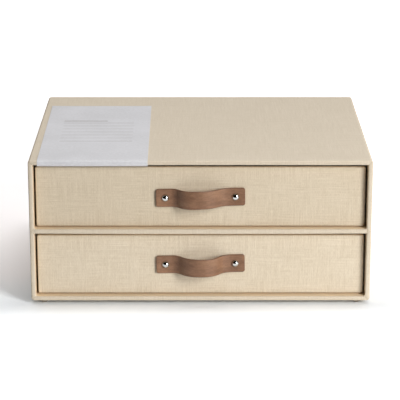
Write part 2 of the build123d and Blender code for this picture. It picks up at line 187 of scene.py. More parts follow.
studio = {
    "floorSize": 14.0,  # metres
    "floorFront": -0.41,  # the table's edge, in front of the picture
    "floorGrey": 0.80,
    # what the camera and reflections see, so that the lit floor reads white: near, and behind the box; kept
    # low near the box as painted shade, a painted contact shadow in front of it and a shadow that fades
    # towards the back
    "floorNearShaded": 1.06, "floorFar": 1.7,
    "nearEdge": -0.15, "farEdge": 0.28,
    "riseBeyondContactShade": 0.40, "frontFrom": -0.134, "frontTo": -0.185,
    "awayRise": 2.6, "awayFrom": 0.5, "awayTo": 1.7,  # far from the box, where the lamps' light has faded
    # painted shadow colour: cool grey in front of the box, warm pink behind it where its shadow lies
    "contactShadeCool": (0.950, 0.977, 1.0), "coolUntil": -0.12,
    "shadowTintWarm": (1.0, 0.967, 0.967), "warmFrom": -0.02,
    "floorGrain": 0.02,
    # lamps: azimuth to the right of the front, elevation, distance and size in metres; a tall window
    "key": {"azimuth": 40, "elevation": 20, "distance": 2.1, "width": 0.66, "height": 1.4, "power": 42.5},
    "over": {"azimuth": 180, "elevation": 87.8, "distance": 3.2, "width": 1.8, "height": 0.5, "power": 32},
    "lampsAim": 0.07,  # height of the point that both face
    # a strip of the floor in front, which the window lights and which lights the drawers from below
    "sheet": {"left": -0.25, "right": 0.65, "depth": 0.40, "height": 0.001, "power": 0.15},
}
sky = {  # parts of the room that give light: direction, where each begins and is full, strength
    "rear": {"towards": (0.10, 0.95, 0.30), "from": 0.2, "full": 0.8, "strength": 0.68},
    "top": {"towards": (0.0, 0.0, 1.0), "from": 0.5, "full": 0.9, "strength": 0.17},
}
skyInSteel = 0.15  # the share of it that polished metal shows, as in a dark room


def makeFloor():
    half, edge = studio["floorSize"] / 2, studio["floorFront"]
    data = bpy.data.meshes.new("floor")
    corners = [(-half, edge, 0), (half, edge, 0), (half, half, 0), (-half, half, 0)]
    data.from_pydata(corners, [], [(0, 1, 2, 3)])
    floor = bpy.data.objects.new("floor", data)
    scene.collection.objects.link(floor)
    material, board, shader = finish("floorPaper")
    board.tree.nodes.remove(shader)
    place = millimetres(board)
    grain = board.speckle(place, (0.02, 0.02, 0.02), detail=3.0)
    _, depth, _ = board.parts(place)

    def ramp(distance, begin, end):  # between two of the studio's places
        return board.between(distance, studio[begin] / mm, studio[end] / mm)

    near, far = studio["floorNearShaded"], studio["floorFar"]
    # painted shade: the floor's gain is kept low near the box, darkening the strip in front of it and its
    # shadow beyond what the lamps give
    shown = near + ramp(depth, "nearEdge", "farEdge") * (far - near)
    shown = shown + (1 - ramp(depth, "frontTo", "frontFrom")) * studio["riseBeyondContactShade"]
    away = board.vectors("LENGTH", {0: place}, "Value")
    shown = shown + ramp(away, "awayFrom", "awayTo") * studio["awayRise"]
    path = board.add("ShaderNodeLightPath")
    seen = calc("MAXIMUM", path, path.also("Is Glossy Ray"))
    seen = calc("MAXIMUM", seen, path.also("Is Transmission Ray"))
    paper = 1 - studio["floorGrain"] / 2 + grain * studio["floorGrain"]
    grey = (studio["floorGrey"] + seen * (shown - studio["floorGrey"])) * paper
    # painted shadow colour: cool in front of the box, warm behind it
    tinge = ramp(depth, "coolUntil", "warmFrom")
    cool, warm = studio["contactShadeCool"], studio["shadowTintWarm"]
    red, green, blue = (grey * (cool[k] + tinge * (warm[k] - cool[k])) for k in range(3))
    matt = board.add("ShaderNodeBsdfDiffuse", None, {"Color": board.joined(red, green, blue)})
    board.tree.links.new(matt.socket, board.tree.nodes["Material Output"].inputs[0])
    data.materials.append(material)


def makeWorld():
    world = bpy.data.worlds.new("studio")
    scene.world = world
    world.use_nodes = True
    board = Board(world.node_tree)
    direction = board.add("ShaderNodeTexCoord", None, None, "Generated")
    path = board.add("ShaderNodeLightPath")
    lobes = []
    for part in sky.values():
        towards = Vector(part["towards"]).normalized()
        facing = board.vectors("DOT_PRODUCT", {0: direction, 1: towards}, "Value")
        lobes.append(board.between(facing, part["from"], part["full"]) * part["strength"])
    bright = sum(lobes[1:], lobes[0]) * (1 - path.also("Is Glossy Ray") * (1 - skyInSteel))
    background = board.tree.nodes["Background"]
    background.inputs["Color"].default_value = (1, 1, 1, 1)
    seen = calc("MAXIMUM", path, path.also("Is Transmission Ray"))
    board.tree.links.new(calc("MAXIMUM", bright, seen).socket, background.inputs["Strength"])


def areaLamp(name, width, height, power):
    data = bpy.data.lights.new(name, "AREA")
    data.shape = "RECTANGLE"
    data.size, data.size_y = width, height
    data.energy = power
    light = bpy.data.objects.new(name, data)
    light.visible_camera = False
    scene.collection.objects.link(light)
    return light


def makeLamp(name):
    lamp = studio[name]
    azimuth, elevation = math.radians(lamp["azimuth"]), math.radians(lamp["elevation"])
    level = math.cos(elevation)
    away = Vector((math.sin(azimuth) * level, -math.cos(azimuth) * level, math.sin(elevation)))
    light = areaLamp(name, lamp["width"], lamp["height"], lamp["power"])
    light.location = away * lamp["distance"] + Vector((0, 0, studio["lampsAim"]))
    light.rotation_euler = away.to_track_quat("Z", "Y").to_euler()


def makeSheet():
    sheet = studio["sheet"]
    left, right, depth = sheet["left"], sheet["right"], sheet["depth"]
    light = areaLamp("sheet", right - left, depth, sheet["power"])
    light.location = ((left + right) / 2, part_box("outer_linen")[0][1] - depth / 2, sheet["height"])
    light.rotation_euler = (math.pi, 0, 0)
    light.visible_glossy = False


makeFloor()
makeWorld()
makeLamp("key")
makeLamp("over")
makeSheet()
print("floor, world and lamps ready")


linen = {
    "pitch": 0.64,  # from thread to thread
    "wander": 1.3,  # how far threads drift from straight
    "threadHeight": 0.10,
    "slubHeight": 0.07,
    "waveHeight": 0.30,  # boards and glue, far apart
    "patches": 0.055,  # per millimetre: where the warp or the weft shows more
    "paintedBounceWarmth": tint(238, 209, 166),  # painted light: a warmer colour inside the mouth and round the drawer fronts, standing in for light bounced between the cloth walls
    "bounceWarmthShare": 0.65,
    # distances over which that colour begins and ends: past the mouth's rim, and from a drawer's front
    "besideRim": (0.2, 0.8), "behindRim": (0.5, 1.6), "deepInMouth": (20.0, 32.0),
    "behindPanel": (0.5, 1.4), "panelEnd": (-0.3, 1.0),
    "paintedCreaseShade": 1.1, "creaseDepth": 0.22,
}


def linenCloth(name, pale, deep, contrast, shift, bounceWarmthMask, creases=None):
    material, board, shader = finish(
        name, Roughness=0.88, Specular_IOR_Level=0.25, Sheen_Weight=0.12, Sheen_Roughness=0.5,
    )
    place = millimetres(board, "weave")
    drift = board.speckle(place, (0.045, 0.045, 1), detail=1.0, shift=shift)
    x, y, _ = board.parts(place)
    driftX, driftY, _ = board.parts(drift.also("Color"))
    a = (x + driftX * linen["wander"]) * (math.pi / linen["pitch"])
    b = (y + driftY * linen["wander"]) * (math.pi / linen["pitch"])
    sinA, sinB = calc("SINE", a), calc("SINE", b)
    warp = abs(sinA) * (0.5 + 0.5 * (calc("SIGN", sinA) * sinB))
    weft = abs(sinB) * (0.5 - 0.5 * (calc("SIGN", sinB) * sinA))
    threads = calc("MAXIMUM", warp, weft)
    upright = board.speckle(place, (0.95, 0.040, 1), detail=2.0, shift=shift + 11)
    level = board.speckle(place, (0.045, 0.95, 1), detail=2.0, shift=shift + 23)
    fine = board.speckle(place, (1.9, 0.35, 1), detail=2.0, shift=shift + 31)
    spread = board.speckle(place, (linen["patches"],) * 3, detail=1.0, shift=shift + 5)
    patch = board.between(spread, 0.38, 0.62)
    slubs = upright * (1.20 - patch * 0.8) + level * (0.28 + patch * 0.8) - 0.74
    clouds = board.speckle(place, (0.011, 0.014, 1), detail=2.0, shift=shift + 47)
    figure = slubs * 0.85 + (fine - 0.5) * 0.95 + (clouds - 0.5) * 0.25 + (threads - 0.55) * 0.42
    tone = 0.5 + figure * contrast
    height = (threads * linen["threadHeight"] + slubs * linen["slubHeight"]) * contrast
    height = height + clouds * linen["waveHeight"]
    if creases:
        groove = creases(board)
        # painted shade: the cloth's tone is darkened along the folds
        tone = tone - groove * linen["paintedCreaseShade"]
        height = height - groove * linen["creaseDepth"]
    shade = board.dyed(board.between(tone, 0.0, 1.0, False), deep, pale)
    # painted bounce light: the cloth is dyed warmer where light bounces between the cloth walls
    shade = board.dyed(bounceWarmthMask(board) * linen["bounceWarmthShare"], shade, linen["paintedBounceWarmth"])
    wire(board, shader, Base_Color=shade, Normal=board.bumped(height))
    return material


def past(board, place, edge, reach):  # 0 before the start of a reach from an edge, 1 after its end
    return board.between(place, edge + linen[reach][0], edge + linen[reach][1])


def inMouth(board):  # where warm bounce light is painted: cloth of the case behind the rim, inside the mouth
    x, y, z = board.parts(millimetres(board))
    inside = 1 - past(board, abs(x), mouthHalf, "besideRim")
    inside = inside * (1 - past(board, abs(z - caseMiddle), mouthTop - caseMiddle, "besideRim"))
    return inside * past(board, y, front, "behindRim") * (1 - past(board, y, front, "deepInMouth"))


def besidePanel(board):  # where warm bounce light is painted: cloth round the edges of a drawer's front
    _, y, _ = board.parts(millimetres(board))
    return past(board, y, panelFace, "behindPanel") * (1 - past(board, y, panelBack, "panelEnd"))


def caseCreases(board):  # where the cloth is cut and folded, at the mouth's corners and the shelf's ends: dents the bump, and marks where shade is painted into the folds
    x, y, z = board.parts(millimetres(board))
    side = abs(x) - mouthHalf
    rim = 1 - board.between(y, front + 0.5, front + 1.4)
    onRim = rim * board.between(side, -0.1, 0.3)
    upper = abs(side - (z - mouthTop))
    lower = abs(side + (z - mouthFloor))
    shelfPoint = abs(abs(z - shelfMiddle) - (3.1 - side) * 0.85)
    nearest = calc("MINIMUM", calc("MINIMUM", upper, lower), shelfPoint)
    wobble = (board.speckle(millimetres(board), (0.9, 0.9, 0.9), detail=1.0) - 0.5) * 0.5
    return onRim * (1 - board.between(nearest + wobble, 0.10, 0.42))


leather = {
    "mid": tint(141, 102, 75),
    "pale": tint(162, 121, 91),
    "deep": tint(105, 72, 51),
    "burnished": tint(86, 60, 45),
    "flesh": tint(152, 123, 100),
}


def pullLeather():
    material, board, shader = finish(
        "pullLeather", Specular_IOR_Level=0.42, Sheen_Weight=0.08, Sheen_Roughness=0.4, Coat_Weight=0.03,
    )
    place = millimetres(board, "hide")
    along, across, rim = board.parts(place)
    flat = board.joined(along, across, 0.0)
    patina = board.speckle(flat, (0.05, 0.16, 1), detail=3.0, shift=3)
    mottle = board.speckle(flat, (0.45, 0.7, 1), detail=3.0, shift=9)
    grains = {"Vector": flat, "Scale": 1.7, "Randomness": 1.0}
    pores = board.add("ShaderNodeTexVoronoi", {"feature": "F1"}, grains)
    plates = {"Vector": flat, "Scale": 0.95}
    cells = board.add("ShaderNodeTexVoronoi", {"feature": "DISTANCE_TO_EDGE"}, plates)
    folds = board.speckle(flat, (1.5, 0.12, 1), detail=2.0, shift=15)  # fine creases across the bend
    tone = board.between(0.5 + (patina - 0.5) * 1.1 + (mottle - 0.5) * 0.45, 0.1, 0.9, False)
    skin = board.dyed(tone, leather["deep"], leather["pale"])
    skin = board.dyed((1 - board.between(pores, 0.05, 0.30)) * 0.35, skin, leather["deep"])
    worn = board.between(rim + (mottle - 0.5) * 0.35, 0.25, 0.95)
    skin = board.dyed(worn * 0.38, skin, leather["burnished"])
    height = pores * 0.035 + board.between(cells, 0.0, 0.14) * 0.03 + folds * 0.10 + mottle * 0.05
    gloss = 0.50 + (mottle - 0.5) * 0.22 - worn * 0.12
    wire(board, shader, Base_Color=skin, Roughness=gloss, Normal=board.bumped(height))
    return material


def fleshLeather():
    material, board, shader = finish("fleshLeather", Roughness=0.92, Specular_IOR_Level=0.2, Sheen_Weight=0.2)
    place = millimetres(board, "hide")
    nap = board.speckle(place, (0.9, 0.9, 1), detail=4.0, shift=40)
    fibre = board.speckle(place, (0.25, 2.2, 1), detail=3.0, shift=44)
    tone = board.between(nap * 0.6 + fibre * 0.4, 0.3, 0.7)
    colour = board.dyed(tone, leather["mid"], leather["flesh"])
    wire(board, shader, Base_Color=colour, Normal=board.bumped(nap * 0.18 + fibre * 0.08))
    return material


def polishedSteel(name, colour, roughness, scratches):
    material, board, shader = finish(name, Metallic=1.0)
    place = millimetres(board)
    haze = board.speckle(place, (0.8, 0.8, 0.8), detail=3.0)
    hair = board.speckle(place, (6.0, 1.0, 0.5), detail=2.0, shift=6)
    deeper = tuple(value * 0.90 for value in colour[:3]) + (1,)
    wire(
        board, shader,
        Base_Color=board.dyed(haze, deeper, colour),
        Roughness=roughness + haze * 0.06 + board.between(hair, 0.62, 0.75) * 0.10,
        Normal=board.bumped(hair * scratches),
    )
    return material


def boardGrey():
    material, board, shader = finish("boardGrey", Roughness=0.93, Specular_IOR_Level=0.2)
    place = millimetres(board)
    pulp = board.speckle(place, (0.5, 0.5, 0.5), detail=4.0)
    flecks = board.between(board.speckle(place, (1.4, 1.4, 1.4), detail=2.0, shift=8), 0.62, 0.70)
    plies = board.speckle(place, (0.05, 0.05, 3.0), detail=1.0, shift=12)
    share = board.between(pulp * 0.7 + plies * 0.3, 0.3, 0.7)
    base = board.dyed(share, tint(150, 145, 137), tint(176, 171, 162))
    base = board.dyed(flecks * 0.5, base, tint(112, 106, 100))
    wire(board, shader, Base_Color=base, Normal=board.bumped(pulp * 0.12))
    return material


def liningPaper():
    material, board, shader = finish("liningPaper", Roughness=0.86, Specular_IOR_Level=0.3)
    place = millimetres(board)
    felt = board.speckle(place, (0.30, 0.30, 0.30), detail=4.0)
    fibres = board.between(board.speckle(place, (0.25, 2.4, 2.4), detail=2.0, shift=5), 0.60, 0.72)
    cross = board.between(board.speckle(place, (2.4, 0.25, 2.4), detail=2.0, shift=9), 0.61, 0.73)
    glue = board.speckle(place, (0.012, 0.012, 0.012), detail=2.0, shift=17)
    share = board.between(felt * 0.6 + glue * 0.4, 0.35, 0.65)
    base = board.dyed(share, tint(222, 213, 194), tint(232, 224, 207))
    base = board.dyed(calc("MAXIMUM", fibres, cross) * 0.35, base, tint(205, 192, 168))
    wire(board, shader, Base_Color=base, Normal=board.bumped(felt * 0.05 + glue * 0.5))
    return material


band = {
    "thickness": 0.25,
    "left": -158.2, "right": -51.0,
    "skew": 1.8,  # its rear end lies further to the left
    "margin": 17.0,  # bare paper beside the ruled lines
    # a printed label to write on: place from the rear end, width of the line, share of the printed width
    "rules": [
        (64, 2.2, 0.62), (72, 0.9, 1.0), (84, 0.5, 1.0), (96, 0.5, 1.0), (108, 0.5, 1.0), (120, 0.5, 1.0),
        (132, 0.5, 1.0), (144, 0.9, 1.0),
    ],
    # depth behind the front edge and height over the top of the case, from the rear end to the tuck
    "path": [
        (216, 0.30), (208, 0.20), (196, 0.13), (160, 0.13), (120, 0.13), (80, 0.13), (40, 0.13), (22, 0.16),
        (14, 0.32), (9.5, 0.42), (6.5, 0.36), (4.0, 0.24), (2.2, 0.17), (1.2, 0.10), (0.5, -0.18),
        (0.05, -0.62), (-0.2, -1.3), (-0.34, -2.2), (-0.36, -3.0), (-0.3, -3.9), (-0.05, -4.7), (0.5, -5.35),
        (1.4, -5.75), (2.6, -5.8), (4.5, -5.5), (7, -5.05), (10, -4.75), (14, -4.66),
    ],
    "columns": 26,
    "curl": 0.22, "curlReach": 26, "curlWidth": 1 / 6,  # free corners at the back lift
    "lift": 0.10, "liftFrom": 4,  # the paper doesn't lie quite flat
}


def bandPaper():
    material, board, shader = finish("bandPaper", Roughness=0.80, Specular_IOR_Level=0.35)
    place = millimetres(board, "sheet")  # across, along from the rear end
    across, along, _ = board.parts(place)
    felt = board.speckle(place, (0.35, 0.35, 1), detail=4.0)
    fibres = board.between(board.speckle(place, (0.35, 1.9, 1), detail=2.0, shift=4), 0.60, 0.75)
    clouds = board.speckle(place, (0.02, 0.02, 1), detail=2.0, shift=14)
    share = board.between(felt * 0.5 + clouds * 0.5, 0.35, 0.65)
    base = board.dyed(share, tint(213, 212, 214), tint(222, 221, 224))
    base = board.dyed(fibres * 0.18, base, tint(188, 185, 186))
    left, width = band["left"] + band["margin"], band["right"] - band["left"] - 2 * band["margin"]
    begun = board.between(across, left, left + 0.2)
    lines = []
    for start, thick, share in band["rules"]:
        end = left + width * share
        line = 1 - board.between(abs(along - start), thick * 0.5, thick * 0.5 + 0.25)
        lines.append(line * begun * (1 - board.between(across, end, end + 0.2)))
    ink = functools.reduce(lambda one, other: calc("MAXIMUM", one, other), lines) * (0.45 + felt * 0.5)
    wire(
        board, shader,
        Base_Color=board.dyed(ink, base, tint(150, 141, 134)),
        Normal=board.bumped(felt * 0.03 + clouds * 0.5 - ink * 0.01),
    )
    return material


def bumperGel():
    material, board, shader = finish(
        "bumperGel", Specular_IOR_Level=0.5, IOR=1.46, Transmission_Weight=0.35, Subsurface_Weight=0.25,
        Subsurface_Radius=(0.004, 0.003, 0.002), Coat_Weight=0.2,
    )
    place = millimetres(board)
    dust = board.speckle(place, (0.9, 0.9, 0.9), detail=3.0)
    wire(
        board, shader,
        Base_Color=board.dyed(board.between(dust, 0.35, 0.7), tint(172, 155, 131), tint(196, 180, 156)),
        Roughness=0.22 + dust * 0.25, Normal=board.bumped(dust * 0.03),
    )
    return material


# places on the case, in millimetres
caseLow, caseHigh = span("outer_linen")
shelfLow = span("shelf_linen")[0]
linenWall = 4.5  # a covered board
front = caseLow[1]
caseHalf = caseHigh[0]
caseBottom, caseTop = caseLow[2], caseHigh[2]
caseMiddle = (caseBottom + caseTop) / 2
mouthHalf = caseHalf - linenWall
mouthFloor, mouthTop = caseBottom + linenWall, caseTop - linenWall
shelfMiddle = shelfLow[2] + linenWall / 2
panelFace, panelBack = (corner[1] for corner in span("upper_front_linen"))
finishes = {
    "caseLinen": linenCloth(
        "caseLinen", tint(232, 219, 199), tint(203, 187, 162), 0.6, 0, inMouth, caseCreases,
    ),
    # painted light: the lower drawer's cloth is dyed paler than the upper's, standing in for light that grows
    # towards the bottom of the front
    "upperLinen": linenCloth("upperLinen", tint(233, 219, 196), tint(200, 182, 154), 1.0, 130, besidePanel),
    "lowerLinen": linenCloth("lowerLinen", tint(238, 225, 203), tint(205, 187, 160), 1.0, 310, besidePanel),
    "pullLeather": pullLeather(),
    "fleshLeather": fleshLeather(),
    "studSteel": polishedSteel("studSteel", (0.58, 0.58, 0.57, 1), 0.07, 0.002),
    "screwSteel": polishedSteel("screwSteel", (0.72, 0.71, 0.69, 1), 0.22, 0.010),
    "boardGrey": boardGrey(),
    "liningPaper": liningPaper(),
    "bandPaper": bandPaper(),
    "bumperGel": bumperGel(),
}
print("materials ready:", ", ".join(finishes))


def pieceFrom(name, shape, materials):  # a bmesh drawn in millimetres as an object in metres
    for vertex in shape.verts:
        vertex.co *= mm
    data = bpy.data.meshes.new(name)
    shape.to_mesh(data)
    shape.free()
    piece = bpy.data.objects.new(name, data)
    scene.collection.objects.link(piece)
    for material in materials:
        data.materials.append(finishes[material])
    return piece


def skin(rings, loop):  # quads between rings of equal length, with capped ends unless they run in a loop
    shape = bmesh.new()
    rows = [[shape.verts.new(point) for point in ring] for ring in rings]
    for near, far in list(zip(rows, rows[1:])) + ([(rows[-1], rows[0])] if loop else []):
        for i in range(len(near)):
            j = (i + 1) % len(near)
            shape.faces.new((near[i], near[j], far[j], far[i]))
    if not loop:
        shape.faces.new(rows[0])
        shape.faces.new(rows[-1][::-1])
    bmesh.ops.recalc_face_normals(shape, faces=shape.faces)
    return shape


def roughen(shape, amount, wavelength, shift=0.0):  # a hand-made unevenness along the normals
    shape.normal_update()
    moves = []
    for vertex in shape.verts:
        swell = noise.noise((vertex.co + Vector((shift, 0, 0))) / wavelength)
        moves.append(vertex.normal * amount * swell)
    for vertex, move in zip(shape.verts, moves):
        vertex.co += move


def layWeave(piece, origin):  # cloth coordinates in mm, unfolded from the front over each edge
    data = piece.data
    weave = data.attributes.new("weave", "FLOAT_VECTOR", "CORNER")
    for face in data.polygons:
        nx, ny, nz = face.normal
        for corner in face.loop_indices:
            x, y, z = data.vertices[data.loops[corner].vertex_index].co / mm
            behind = y - origin
            if abs(ny) >= max(abs(nx), abs(nz)):
                place = (x, z, 0)
            elif abs(nx) >= abs(nz):
                place = (x + math.copysign(behind, nx), z, 0)
            else:
                place = (x, z + math.copysign(behind, nz), 0)
            weave.data[corner].vector = place


def freeze(piece):  # modifiers worked into the mesh
    bpy.context.view_layer.update()
    graph = bpy.context.evaluated_depsgraph_get()
    done = piece.evaluated_get(graph)
    data = bpy.data.meshes.new_from_object(done, preserve_all_data_layers=True, depsgraph=graph)
    piece.modifiers.clear()
    data.name = piece.name
    piece.data = data


def smoothed(piece, angle=38):  # smooth shading that leaves broad faces flat
    for face in piece.data.polygons:
        face.use_smooth = True
    modifier = piece.modifiers.new("normals", "WEIGHTED_NORMAL")
    modifier.keep_sharp = True
    modifier.weight = 80
    piece.data.set_sharp_from_angle(angle=math.radians(angle))
    freeze(piece)


def placed(piece, body, slot, *replaced):
    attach(piece, body)
    if replaced:
        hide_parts(*replaced)
    return piece


def quarter(centre, radius, start, end, steps=4):  # points of an arc in a section plane, angles in degrees
    return [
        (centre[0] + radius * math.cos(math.radians(start + (end - start) * k / steps)),
         centre[1] + radius * math.sin(math.radians(start + (end - start) * k / steps)))
        for k in range(steps + 1)
    ]


def circle(radius, steps):
    angles = [math.tau * k / steps for k in range(steps)]
    return [(radius * math.cos(a), radius * math.sin(a)) for a in angles]


def drop(distance, radius):  # how far a rounded edge lies below the flat, at a distance from its end
    return radius - math.sqrt(max(0.0, radius ** 2 - max(0.0, radius - distance) ** 2))


ringGrid = {"spacing": 14.0, "cornerSteps": 5, "leastRadius": 0.25, "caseStorey": 72}


def roundedRing(halfWidth, halfHeight, radius, middle, y, lowerRadius=None, across=None):
    # points round an upright rectangle with rounded corners, the same number for any size
    wide, tall = across or (caseHalf, ringGrid["caseStorey"])
    columns, storeys = (max(1, round(2 * size / ringGrid["spacing"])) for size in (wide, tall))
    corners = []
    for sideX, sideZ, start in ((1, 1, 0), (-1, 1, 90), (-1, -1, 180), (1, -1, 270)):
        bend = max(ringGrid["leastRadius"], lowerRadius if lowerRadius and sideZ < 0 else radius)
        centre = (sideX * (halfWidth - bend), sideZ * (halfHeight - bend))
        corners.append(quarter(centre, bend, start, start + 90, ringGrid["cornerSteps"]))
    flat = []
    for number, corner in enumerate(corners):
        flat += corner
        (endX, endZ), (nextX, nextZ) = corner[-1], corners[(number + 1) % 4][0]
        count = columns if number % 2 == 0 else storeys
        for k in range(1, count):
            flat.append((endX + (nextX - endX) * k / count, endZ + (nextZ - endZ) * k / count))
    return [(x, y, middle + z) for x, z in flat]

caseCloth = {
    "thickness": 0.5,
    "edgeRadius": 2.9,
    "outerSoftness": 1.2,
    "innerSoftness": 0.9,
    "rimCrown": 0.12,  # the front rim swells a little between its two edges
    "turnIn": 18.0,
    "rearTurnIn": 14.0,
    "rearSoftness": 0.8,
    "depth": 259.5,
    "gather": 1.9,  # cloth gathered in the mouth's lower corners
    "gatherEnd": 6.0,
    "frontSkin": 1.1,  # the cloth and glue over the mouth's edge
    "unevenness": 0.09,
}


def makeCaseCloth():
    c = caseCloth
    halfWidth, halfHeight = caseHalf, (caseTop - caseBottom) / 2
    skinDepth = c["thickness"]
    outer, inner, rear = c["outerSoftness"], c["innerSoftness"], c["rearSoftness"]
    # the wall's section as inset from the outline and depth behind the front edge
    section = [(c["rearTurnIn"], c["depth"] - skinDepth), (c["rearTurnIn"], c["depth"])]
    section += quarter((rear, c["depth"] - rear), rear, 90, 180)
    section += [(0, depth) for depth in (240, 215, 190, 165, 140, 115, 90, 65, 42, 24, 12, 5)]
    section += quarter((outer, outer), outer, 180, 270)
    section += [(2.0, -c["rimCrown"]), (3.0, -c["rimCrown"])]
    section += quarter((linenWall - inner, inner), inner, 270, 360)
    section += [(linenWall, depth) for depth in (3.0, 5.0, c["gatherEnd"], 8.0, 12.0, c["turnIn"])]
    section += [(linenWall - skinDepth, c["turnIn"]), (linenWall - skinDepth, c["frontSkin"])]
    section += [(skinDepth, c["frontSkin"]), (skinDepth, c["depth"] - skinDepth)]
    rings = []
    for inset, depth in section:
        radius = max(c["edgeRadius"] - inset, 0.4)
        gather = None
        if inset > linenWall - inner and depth < 8.0:
            gather = c["gather"] if depth <= c["gatherEnd"] else 0.4
            gather *= min(1.0, 0.35 + (inset - (linenWall - inner)) / inner)
        size = (halfWidth - inset, halfHeight - inset)
        rings.append(roundedRing(*size, radius, caseMiddle, front + depth, gather))
    shape = skin(rings, loop=True)
    roughen(shape, c["unevenness"], 26)
    piece = pieceFrom("caseCloth", shape, ["caseLinen"])
    layWeave(piece, front)
    smoothed(piece)
    placed(piece, "case", "case_linen", "outer_linen")


shelfCloth = {
    "softness": 0.95,
    "sag": 0.55,  # its lower edge hangs a little at mid width
    "gather": 1.9,
    "unevenness": 0.07,
}


def makeShelfCloth():
    c = shelfCloth
    top, bottom = shelfMiddle + linenWall / 2, shelfMiddle - linenWall / 2
    skinDepth, turnIn, softness = caseCloth["thickness"], caseCloth["turnIn"], c["softness"]
    section = [(turnIn, top), (8.0, top), (6.0, top), (3.5, top)]
    section += quarter((softness, top - softness), softness, 90, 180)
    section += [(-0.10, shelfMiddle + 0.6), (-0.10, shelfMiddle - 0.6)]
    section += quarter((softness, bottom + softness), softness, 180, 270)
    section += [(6.0, bottom), (turnIn, bottom), (turnIn, bottom + skinDepth)]
    section += [(skinDepth, bottom + skinDepth), (skinDepth, top - skinDepth), (turnIn, top - skinDepth)]
    stations = [0, 0.25, 0.6, 1.1, 1.9, 3.5] + [4 + 7.2 * k for k in range(1, 23)]
    stations = [-mouthHalf + s for s in stations] + [0.0] + [mouthHalf - s for s in stations[::-1]]
    rings = []
    for x in stations:
        gap = mouthHalf - abs(x)
        lift = drop(gap, c["gather"])
        ring = []
        for depth, z in section:
            rise = lift if z >= top - 0.3 and softness * 0.3 < depth < 6.5 else 0.0
            sag = c["sag"] * (1 - (x / mouthHalf) ** 2) if z < shelfMiddle and depth < 7 else 0.0
            ring.append((x, front + depth, z + rise - sag))
        rings.append(ring)
    shape = skin(rings, loop=False)
    roughen(shape, c["unevenness"], 22, shift=60)
    piece = pieceFrom("shelfCloth", shape, ["caseLinen"])
    layWeave(piece, front)
    smoothed(piece)
    placed(piece, "case", "case_linen", "shelf_linen")


backCloth = {
    "margin": 2.5,
    "softness": 0.3,
    "turnInStep": 0.30,  # the sheet dips where the folded cloth under it ends
    "cornerRadius": 0.8,
}


def makeBackCloth():
    c = backCloth
    low, high = span("back_linen")
    halfWidth, halfHeight = caseHalf - c["margin"], (high[2] - low[2]) / 2
    step = caseCloth["rearTurnIn"] - c["margin"]
    soft = c["softness"]
    section = [(halfHeight - 2, low[1]), (step + 6, low[1]), (0, low[1])]
    section += quarter((soft, high[1] - soft), soft, 180, 90, 3)
    outside, dip = high[1], high[1] - c["turnInStep"]
    section += [(4, outside), (step - 1.0, outside), (step, outside - 0.06), (step + 1.2, dip + 0.06)]
    section += [(step + 2.4, dip), (30, dip), (halfHeight - 2, dip)]
    rings = []
    for inset, y in section:
        radius = max(0.3, c["cornerRadius"] - inset * 0.5)
        rings.append(roundedRing(halfWidth - inset, halfHeight - inset, radius, caseMiddle, y))
    shape = skin(rings, loop=False)
    roughen(shape, 0.05, 30, shift=20)
    piece = pieceFrom("backCloth", shape, ["caseLinen"])
    layWeave(piece, front)
    smoothed(piece)
    placed(piece, "case", "case_linen", "back_linen")


makeCaseCloth()
makeShelfCloth()
makeBackCloth()
print("cloth of the case ready")


def makePaperBand():
    path = band["path"]
    knots = [Vector((front + depth, caseTop + height)) for depth, height in path]
    line = []
    for i in range(len(knots) - 1):  # a smooth line through the knots
        before, here, there, after = (knots[max(0, min(len(knots) - 1, i + k))] for k in (-1, 0, 1, 2))
        steps = 2 if (there - here).length > 6 else 3
        for k in range(steps):
            t = k / steps
            line.append(0.5 * (
                2 * here + (there - before) * t + (2 * before - 5 * here + 4 * there - after) * t * t
                + (3 * here - before - 3 * there + after) * t ** 3
            ))
    line.append(knots[-1])
    width = band["right"] - band["left"]
    columns = band["columns"]
    shape = bmesh.new()
    place = shape.verts.layers.float_vector.new("sheet")
    rows, lengths, travelled = [], [], 0.0
    whole = sum((b - a).length for a, b in zip(line, line[1:]))
    for number, point in enumerate(line):
        if number:
            travelled += (point - line[number - 1]).length
        lengths.append(travelled)
        row = []
        for k in range(columns + 1):
            share = k / columns
            x = band["left"] + width * share - band["skew"] * (1 - travelled / whole)
            edge = min(share, 1 - share)
            free = max(0.0, 1 - travelled / band["curlReach"]) * max(0.0, 1 - edge / band["curlWidth"])
            curl = band["curl"] * free
            waves = noise.noise(Vector((x / 34, travelled / 40, 3.0)))
            lift = band["lift"] * waves if travelled > band["liftFrom"] else 0.0
            row.append(shape.verts.new((x, point[0], point[1] + curl + abs(lift))))
        rows.append(row)
    for row, length in zip(rows, lengths):
        for k, vertex in enumerate(row):
            vertex[place] = (band["left"] + width * k / columns, length, 0)
    for near, far in zip(rows, rows[1:]):
        for i in range(columns):
            shape.faces.new((near[i], far[i], far[i + 1], near[i + 1]))
    bmesh.ops.recalc_face_normals(shape, faces=shape.faces)
    if shape.faces[0].normal.z < 0:
        bmesh.ops.reverse_faces(shape, faces=shape.faces)
    piece = pieceFrom("paperBand", shape, ["bandPaper"])
    sheet = piece.modifiers.new("thickness", "SOLIDIFY")
    sheet.thickness = band["thickness"] * mm
    sheet.offset = 0.0
    freeze(piece)
    smoothed(piece, 60)
    placed(piece, "case", "band_paper", "paper_band")


makePaperBand()
print("paper band ready")


drawerFront = {
    "cornerRadius": 1.7,
    "softness": 0.95,
    "turnIn": 12.0,
    "thickness": 0.5,
    "unevenness": 0.10,
}


